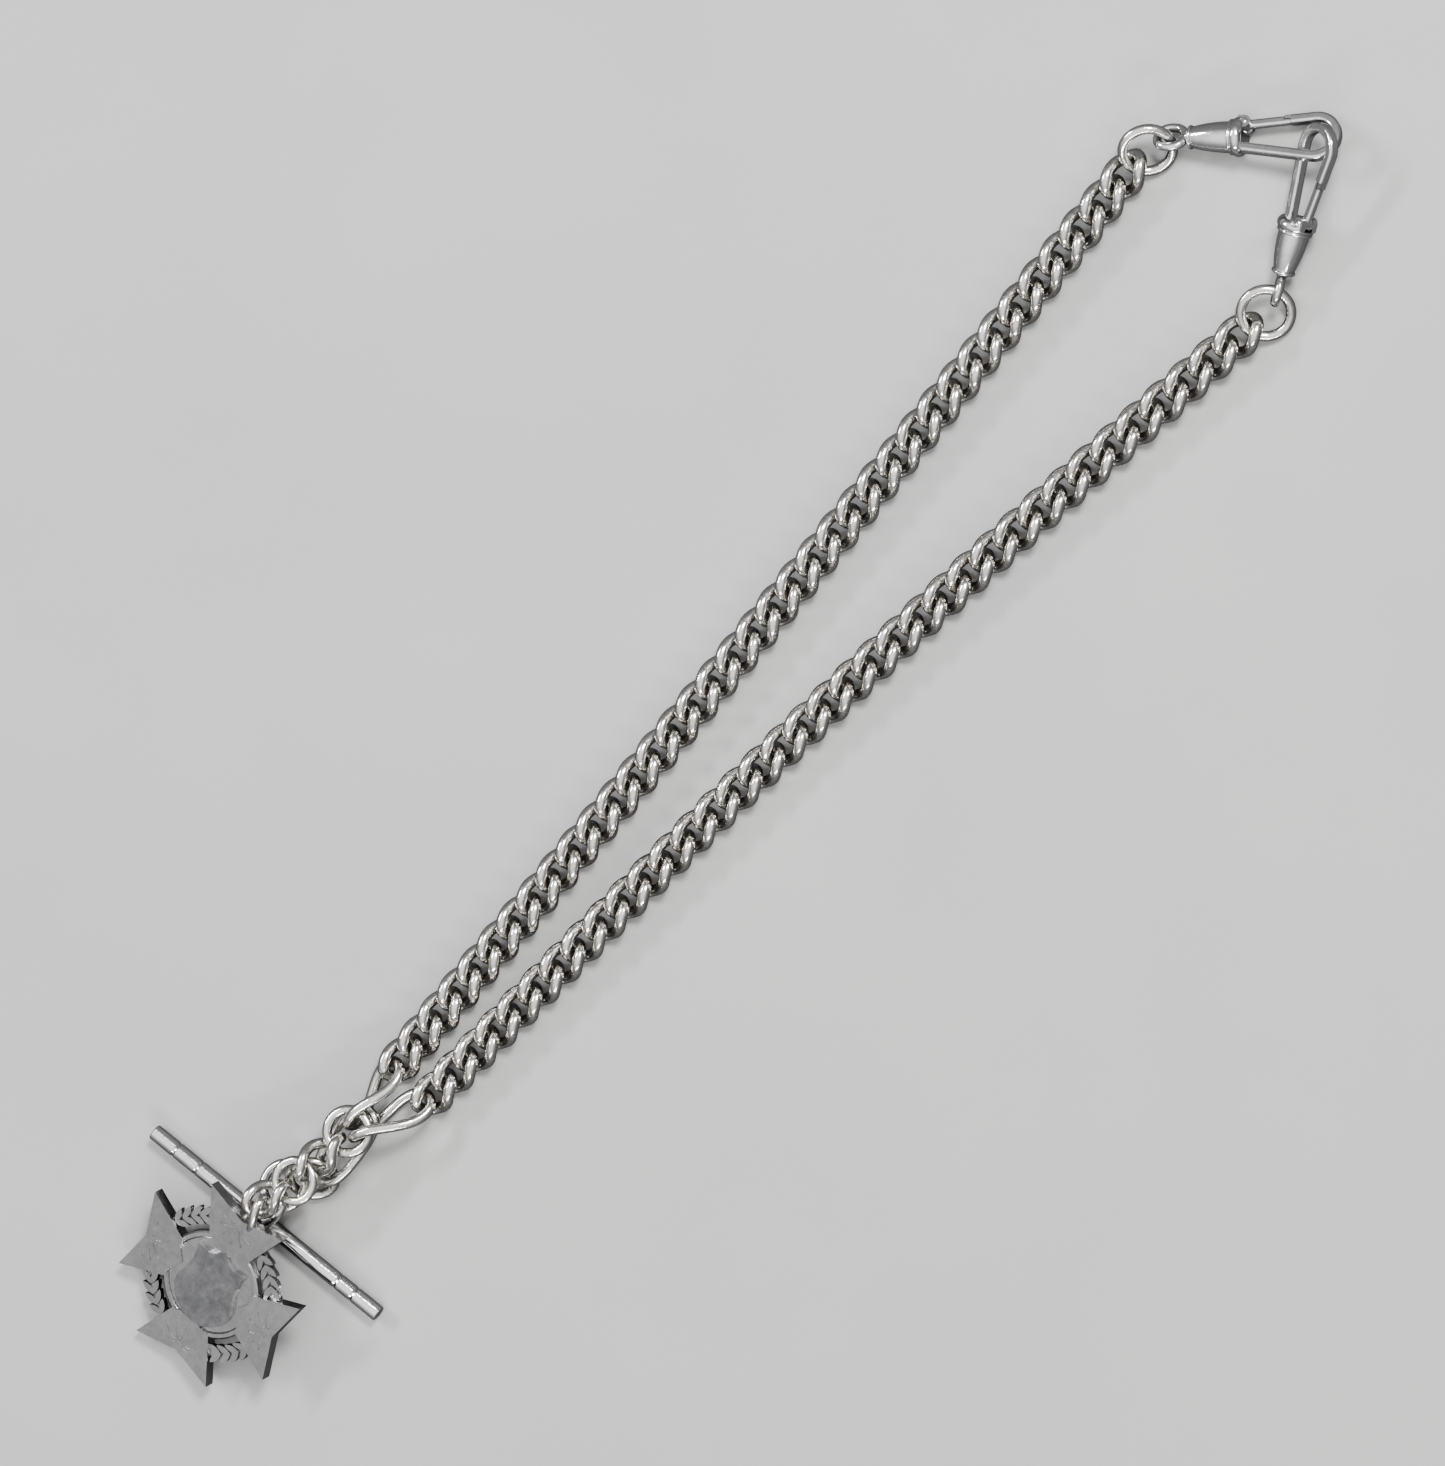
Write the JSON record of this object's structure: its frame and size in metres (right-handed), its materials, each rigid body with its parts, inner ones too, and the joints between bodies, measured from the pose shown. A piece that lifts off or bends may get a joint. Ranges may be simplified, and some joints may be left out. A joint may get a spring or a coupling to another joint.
{
  "type": "pocket watch chain",
  "caption": "Double Albert watch chain: twisted curb links, swivel clips at the ends, T-bar and an open-work medal fob hung from the centre.",
  "frame": {"origin": "middle of the centre ring", "axes": "+X runs up between the two lengths of curb chain to the clips, +Z is up, +Y is to the left of +X"},
  "size_m": [0.2395, 0.04, 0.009],
  "materials": {
    "curb_silver": "old sterling silver, soft polish with darker recesses",
    "link_silver": "old sterling silver, polished by wear",
    "polished_silver": "bright polished sterling silver with fine scratches",
    "fob_silver": "satin sterling silver"
  },
  "bodies": {
    "centre_ring": {"centre_ring": "link_silver"},
    "upper_long_link": {"upper_long_link": "link_silver"},
    "upper_chain_01": {"upper_curb_links_01": "curb_silver"},
    "upper_chain_02": {"upper_curb_links_02": "curb_silver"},
    "upper_chain_03": {"upper_curb_links_03": "curb_silver"},
    "upper_chain_04": {"upper_curb_links_04": "curb_silver"},
    "upper_chain_05": {"upper_curb_links_05": "curb_silver"},
    "upper_chain_06": {"upper_curb_links_06": "curb_silver"},
    "upper_chain_07": {"upper_curb_links_07": "curb_silver"},
    "upper_chain_08": {"upper_curb_links_08": "curb_silver"},
    "upper_chain_09": {"upper_curb_links_09": "curb_silver"},
    "upper_chain_10": {"upper_curb_links_10": "curb_silver"},
    "upper_chain_11": {"upper_curb_links_11": "curb_silver"},
    "upper_chain_12": {"upper_curb_links_12": "curb_silver"},
    "upper_jump_ring": {"upper_jump_ring": "link_silver"},
    "upper_clip": {"upper_clip_body": "polished_silver", "upper_clip_pin": "polished_silver"},
    "upper_gate": {"upper_clip_gate": "polished_silver"},
    "upper_swivel_eye": {"upper_clip_swivel_eye": "polished_silver"},
    "lower_long_link": {"lower_long_link": "link_silver"},
    "lower_chain_01": {"lower_curb_links_01": "curb_silver"},
    "lower_chain_02": {"lower_curb_links_02": "curb_silver"},
    "lower_chain_03": {"lower_curb_links_03": "curb_silver"},
    "lower_chain_04": {"lower_curb_links_04": "curb_silver"},
    "lower_chain_05": {"lower_curb_links_05": "curb_silver"},
    "lower_chain_06": {"lower_curb_links_06": "curb_silver"},
    "lower_chain_07": {"lower_curb_links_07": "curb_silver"},
    "lower_chain_08": {"lower_curb_links_08": "curb_silver"},
    "lower_chain_09": {"lower_curb_links_09": "curb_silver"},
    "lower_chain_10": {"lower_curb_links_10": "curb_silver"},
    "lower_chain_11": {"lower_curb_links_11": "curb_silver"},
    "lower_chain_12": {"lower_curb_links_12": "curb_silver"},
    "lower_jump_ring": {"lower_jump_ring": "link_silver"},
    "lower_clip": {"lower_clip_body": "polished_silver", "lower_clip_pin": "polished_silver"},
    "lower_gate": {"lower_clip_gate": "polished_silver"},
    "lower_swivel_eye": {"lower_clip_swivel_eye": "polished_silver"},
    "fob_link_1": {"fob_drop_link_1": "link_silver"},
    "fob_ring": {"fob_drop_ring": "link_silver"},
    "fob_link_2": {"fob_drop_link_2": "link_silver"},
    "fob": {"fob_body": "fob_silver", "fob_shield": "fob_silver", "fob_bail": "fob_silver"},
    "centre_oval": {"centre_oval": "link_silver"},
    "t_bar_ring_1": {"t_bar_drop_ring_1": "link_silver"},
    "t_bar_ring_2": {"t_bar_drop_ring_2": "link_silver"},
    "t_bar": {"t_bar": "polished_silver", "t_bar_loop": "link_silver"}
  },
  "joints": [
    {"name": "upper_long_link_fold", "type": "hinge", "parent": "centre_ring", "child": "upper_long_link", "pos_m": [0.00158, -0.00199, -0.00114], "axis": [0.3247, 0.8964, 0.3017], "range_deg": [-8, 8]},
    {"name": "lower_long_link_fold", "type": "hinge", "parent": "centre_ring", "child": "lower_long_link", "pos_m": [0.00158, -0.00199, -0.00114], "axis": [0.3247, 0.8964, 0.3017], "range_deg": [-8, 8]},
    {"name": "upper_first_link_fold", "type": "hinge", "parent": "upper_long_link", "child": "upper_chain_01", "pos_m": [0.01046, -0.00585, -0.0029], "axis": [-0.0697, 0.9929, -0.0967], "range_deg": [-8, 8]},
    {"name": "lower_first_link_fold", "type": "hinge", "parent": "lower_long_link", "child": "lower_chain_01", "pos_m": [0.01046, -0.00585, -0.0029], "axis": [-0.0697, 0.9929, -0.0967], "range_deg": [-8, 8]},
    {"name": "upper_chain_fold_02", "type": "hinge", "parent": "upper_chain_01", "child": "upper_chain_02", "pos_m": [0.02291, -0.00001, -0.00286], "axis": [0, 1, 0], "range_deg": [-20, 20]},
    {"name": "lower_chain_fold_02", "type": "hinge", "parent": "lower_chain_01", "child": "lower_chain_02", "pos_m": [0.02291, -0.00001, -0.00286], "axis": [0, 1, 0], "range_deg": [-20, 20]},
    {"name": "upper_chain_fold_03", "type": "hinge", "parent": "upper_chain_02", "child": "upper_chain_03", "pos_m": [0.03609, -0.00001, -0.00286], "axis": [0, -1, 0], "range_deg": [-20, 20]},
    {"name": "lower_chain_fold_03", "type": "hinge", "parent": "lower_chain_02", "child": "lower_chain_03", "pos_m": [0.03609, -0.00001, -0.00286], "axis": [0, -1, 0], "range_deg": [-20, 20]},
    {"name": "upper_chain_fold_04", "type": "hinge", "parent": "upper_chain_03", "child": "upper_chain_04", "pos_m": [0.04927, -0.00001, -0.00286], "axis": [0, 1, 0], "range_deg": [-20, 20]},
    {"name": "lower_chain_fold_04", "type": "hinge", "parent": "lower_chain_03", "child": "lower_chain_04", "pos_m": [0.04927, -0.00001, -0.00286], "axis": [0, 1, 0], "range_deg": [-20, 20]},
    {"name": "upper_chain_fold_05", "type": "hinge", "parent": "upper_chain_04", "child": "upper_chain_05", "pos_m": [0.06245, -0.00001, -0.00286], "axis": [0, -1, 0], "range_deg": [-20, 20]},
    {"name": "lower_chain_fold_05", "type": "hinge", "parent": "lower_chain_04", "child": "lower_chain_05", "pos_m": [0.06245, -0.00001, -0.00286], "axis": [0, -1, 0], "range_deg": [-20, 20]},
    {"name": "upper_chain_fold_06", "type": "hinge", "parent": "upper_chain_05", "child": "upper_chain_06", "pos_m": [0.07563, -0.00001, -0.00286], "axis": [0, 1, 0], "range_deg": [-20, 20]},
    {"name": "lower_chain_fold_06", "type": "hinge", "parent": "lower_chain_05", "child": "lower_chain_06", "pos_m": [0.07563, -0.00001, -0.00286], "axis": [0, 1, 0], "range_deg": [-20, 20]},
    {"name": "upper_chain_fold_07", "type": "hinge", "parent": "upper_chain_06", "child": "upper_chain_07", "pos_m": [0.08881, -0.00001, -0.00286], "axis": [0, -1, 0], "range_deg": [-20, 20]},
    {"name": "lower_chain_fold_07", "type": "hinge", "parent": "lower_chain_06", "child": "lower_chain_07", "pos_m": [0.08881, -0.00001, -0.00286], "axis": [0, -1, 0], "range_deg": [-20, 20]},
    {"name": "upper_chain_fold_08", "type": "hinge", "parent": "upper_chain_07", "child": "upper_chain_08", "pos_m": [0.10199, -0.00001, -0.00286], "axis": [0, 1, 0], "range_deg": [-20, 20]},
    {"name": "lower_chain_fold_08", "type": "hinge", "parent": "lower_chain_07", "child": "lower_chain_08", "pos_m": [0.10199, -0.00001, -0.00286], "axis": [0, 1, 0], "range_deg": [-20, 20]},
    {"name": "upper_chain_fold_09", "type": "hinge", "parent": "upper_chain_08", "child": "upper_chain_09", "pos_m": [0.11517, -0.00001, -0.00286], "axis": [0, -1, 0], "range_deg": [-20, 20]},
    {"name": "lower_chain_fold_09", "type": "hinge", "parent": "lower_chain_08", "child": "lower_chain_09", "pos_m": [0.11517, -0.00001, -0.00286], "axis": [0, -1, 0], "range_deg": [-20, 20]},
    {"name": "upper_chain_fold_10", "type": "hinge", "parent": "upper_chain_09", "child": "upper_chain_10", "pos_m": [0.12834, -0.00001, -0.00286], "axis": [0, 1, 0], "range_deg": [-20, 20]},
    {"name": "lower_chain_fold_10", "type": "hinge", "parent": "lower_chain_09", "child": "lower_chain_10", "pos_m": [0.12834, -0.00001, -0.00286], "axis": [0, 1, 0], "range_deg": [-20, 20]},
    {"name": "upper_chain_fold_11", "type": "hinge", "parent": "upper_chain_10", "child": "upper_chain_11", "pos_m": [0.14152, -0.00001, -0.00286], "axis": [0, -1, 0], "range_deg": [-20, 20]},
    {"name": "lower_chain_fold_11", "type": "hinge", "parent": "lower_chain_10", "child": "lower_chain_11", "pos_m": [0.14152, -0.00001, -0.00286], "axis": [0, -1, 0], "range_deg": [-20, 20]},
    {"name": "upper_chain_fold_12", "type": "hinge", "parent": "upper_chain_11", "child": "upper_chain_12", "pos_m": [0.1547, -0.00001, -0.00286], "axis": [0, 1, 0], "range_deg": [-20, 20]},
    {"name": "lower_chain_fold_12", "type": "hinge", "parent": "lower_chain_11", "child": "lower_chain_12", "pos_m": [0.1547, -0.00001, -0.00286], "axis": [0, 1, 0], "range_deg": [-20, 20]},
    {"name": "upper_jump_ring_fold", "type": "hinge", "parent": "upper_chain_12", "child": "upper_jump_ring", "pos_m": [0.16723, -0.01426, -0.00286], "axis": [-0.164, -0.9865, 0], "range_deg": [-18, 18]},
    {"name": "lower_jump_ring_fold", "type": "hinge", "parent": "lower_chain_12", "child": "lower_jump_ring", "pos_m": [0.16723, -0.01426, -0.00286], "axis": [-0.164, -0.9865, 0], "range_deg": [-18, 18]},
    {"name": "upper_clip_fold", "type": "hinge", "parent": "upper_jump_ring", "child": "upper_clip", "pos_m": [0.17328, -0.01351, -0.00263], "axis": [0.1637, 0.9865, 0.0101], "range_deg": [-22, 12]},
    {"name": "lower_clip_fold", "type": "hinge", "parent": "lower_jump_ring", "child": "lower_clip", "pos_m": [0.17328, -0.01351, -0.00263], "axis": [0.1637, 0.9865, 0.0101], "range_deg": [-22, 12]},
    {"name": "upper_gate_pivot", "type": "hinge", "parent": "upper_clip", "child": "upper_gate", "pos_m": [0.18621, 0.00447, -0.00303], "axis": [-0.3476, -0.3873, -0.8539], "range_deg": [0, 14], "stiffness_Nm_per_rad": 0.0001},
    {"name": "upper_eye_swivel", "type": "hinge", "parent": "upper_clip", "child": "upper_swivel_eye", "pos_m": [0.17986, 0.00878, -0.00239], "axis": [0.7047, -0.7087, 0.0346], "range_deg": [-18, 18]},
    {"name": "lower_gate_pivot", "type": "hinge", "parent": "lower_clip", "child": "lower_gate", "pos_m": [0.18311, -0.0104, -0.00067], "axis": [-0.3286, 0.4898, 0.8075], "range_deg": [0, 14], "stiffness_Nm_per_rad": 0.0001},
    {"name": "lower_eye_swivel", "type": "hinge", "parent": "lower_clip", "child": "lower_swivel_eye", "pos_m": [0.17588, -0.01237, -0.00242], "axis": [0.8946, 0.4356, 0.0998], "range_deg": [-18, 12]},
    {"name": "fob_link_1_swing", "type": "hinge", "parent": "centre_ring", "child": "fob_link_1", "pos_m": [-0.00284, 0.00068, -0.00032], "axis": [0, 1, 0], "range_deg": [0, 9]},
    {"name": "fob_ring_swing", "type": "hinge", "parent": "fob_link_1", "child": "fob_ring", "pos_m": [-0.00729, 0.00099, 0.00119], "axis": [-0.1859, 0.9727, -0.139], "range_deg": [0, 40]},
    {"name": "fob_link_2_swing", "type": "hinge", "parent": "fob_ring", "child": "fob_link_2", "pos_m": [-0.01281, 0.00027, 0.00178], "axis": [-0.1, 0.9839, -0.148], "range_deg": [0, 38]},
    {"name": "fob_swing", "type": "hinge", "parent": "fob_link_2", "child": "fob", "pos_m": [-0.0161, 0.00214, 0.00215], "axis": [-0.9816, -0.1908, 0], "range_deg": [-20, 20]},
    {"name": "centre_oval_swing", "type": "hinge", "parent": "centre_ring", "child": "centre_oval", "pos_m": [0.00235, -0.00157, 0.00096], "axis": [-0.094, 0.9765, -0.1941], "range_deg": [-20, 0]},
    {"name": "t_bar_ring_1_swing", "type": "hinge", "parent": "centre_oval", "child": "t_bar_ring_1", "pos_m": [-0.0069, 0.00029, -0.00187], "axis": [0, 0, 1], "range_deg": [-6, 22]},
    {"name": "t_bar_ring_2_swing", "type": "hinge", "parent": "t_bar_ring_1", "child": "t_bar_ring_2", "pos_m": [-0.01264, -0.00007, -0.00385], "axis": [0.1519, -0.5247, -0.8376], "range_deg": [-15, 40]},
    {"name": "t_bar_swing", "type": "hinge", "parent": "t_bar_ring_2", "child": "t_bar", "pos_m": [-0.01381, 0.00132, -0.00036], "axis": [0.077, 0.2611, 0.9622], "range_deg": [-25, 14]}
  ],
  "couplings": [
    {"joint": "lower_long_link_fold", "follows": "upper_long_link_fold", "ratio": 1},
    {"joint": "lower_first_link_fold", "follows": "upper_first_link_fold", "ratio": 1},
    {"joint": "lower_chain_fold_02", "follows": "upper_chain_fold_02", "ratio": 1},
    {"joint": "lower_chain_fold_03", "follows": "upper_chain_fold_03", "ratio": 1},
    {"joint": "lower_chain_fold_04", "follows": "upper_chain_fold_04", "ratio": 1},
    {"joint": "lower_chain_fold_05", "follows": "upper_chain_fold_05", "ratio": 1},
    {"joint": "lower_chain_fold_06", "follows": "upper_chain_fold_06", "ratio": 1},
    {"joint": "lower_chain_fold_07", "follows": "upper_chain_fold_07", "ratio": 1},
    {"joint": "lower_chain_fold_08", "follows": "upper_chain_fold_08", "ratio": 1},
    {"joint": "lower_chain_fold_09", "follows": "upper_chain_fold_09", "ratio": 1},
    {"joint": "lower_chain_fold_10", "follows": "upper_chain_fold_10", "ratio": 1},
    {"joint": "lower_chain_fold_11", "follows": "upper_chain_fold_11", "ratio": 1},
    {"joint": "lower_chain_fold_12", "follows": "upper_chain_fold_12", "ratio": 1},
    {"joint": "lower_jump_ring_fold", "follows": "upper_jump_ring_fold", "ratio": 1},
    {"joint": "lower_clip_fold", "follows": "upper_clip_fold", "ratio": 1}
  ]
}
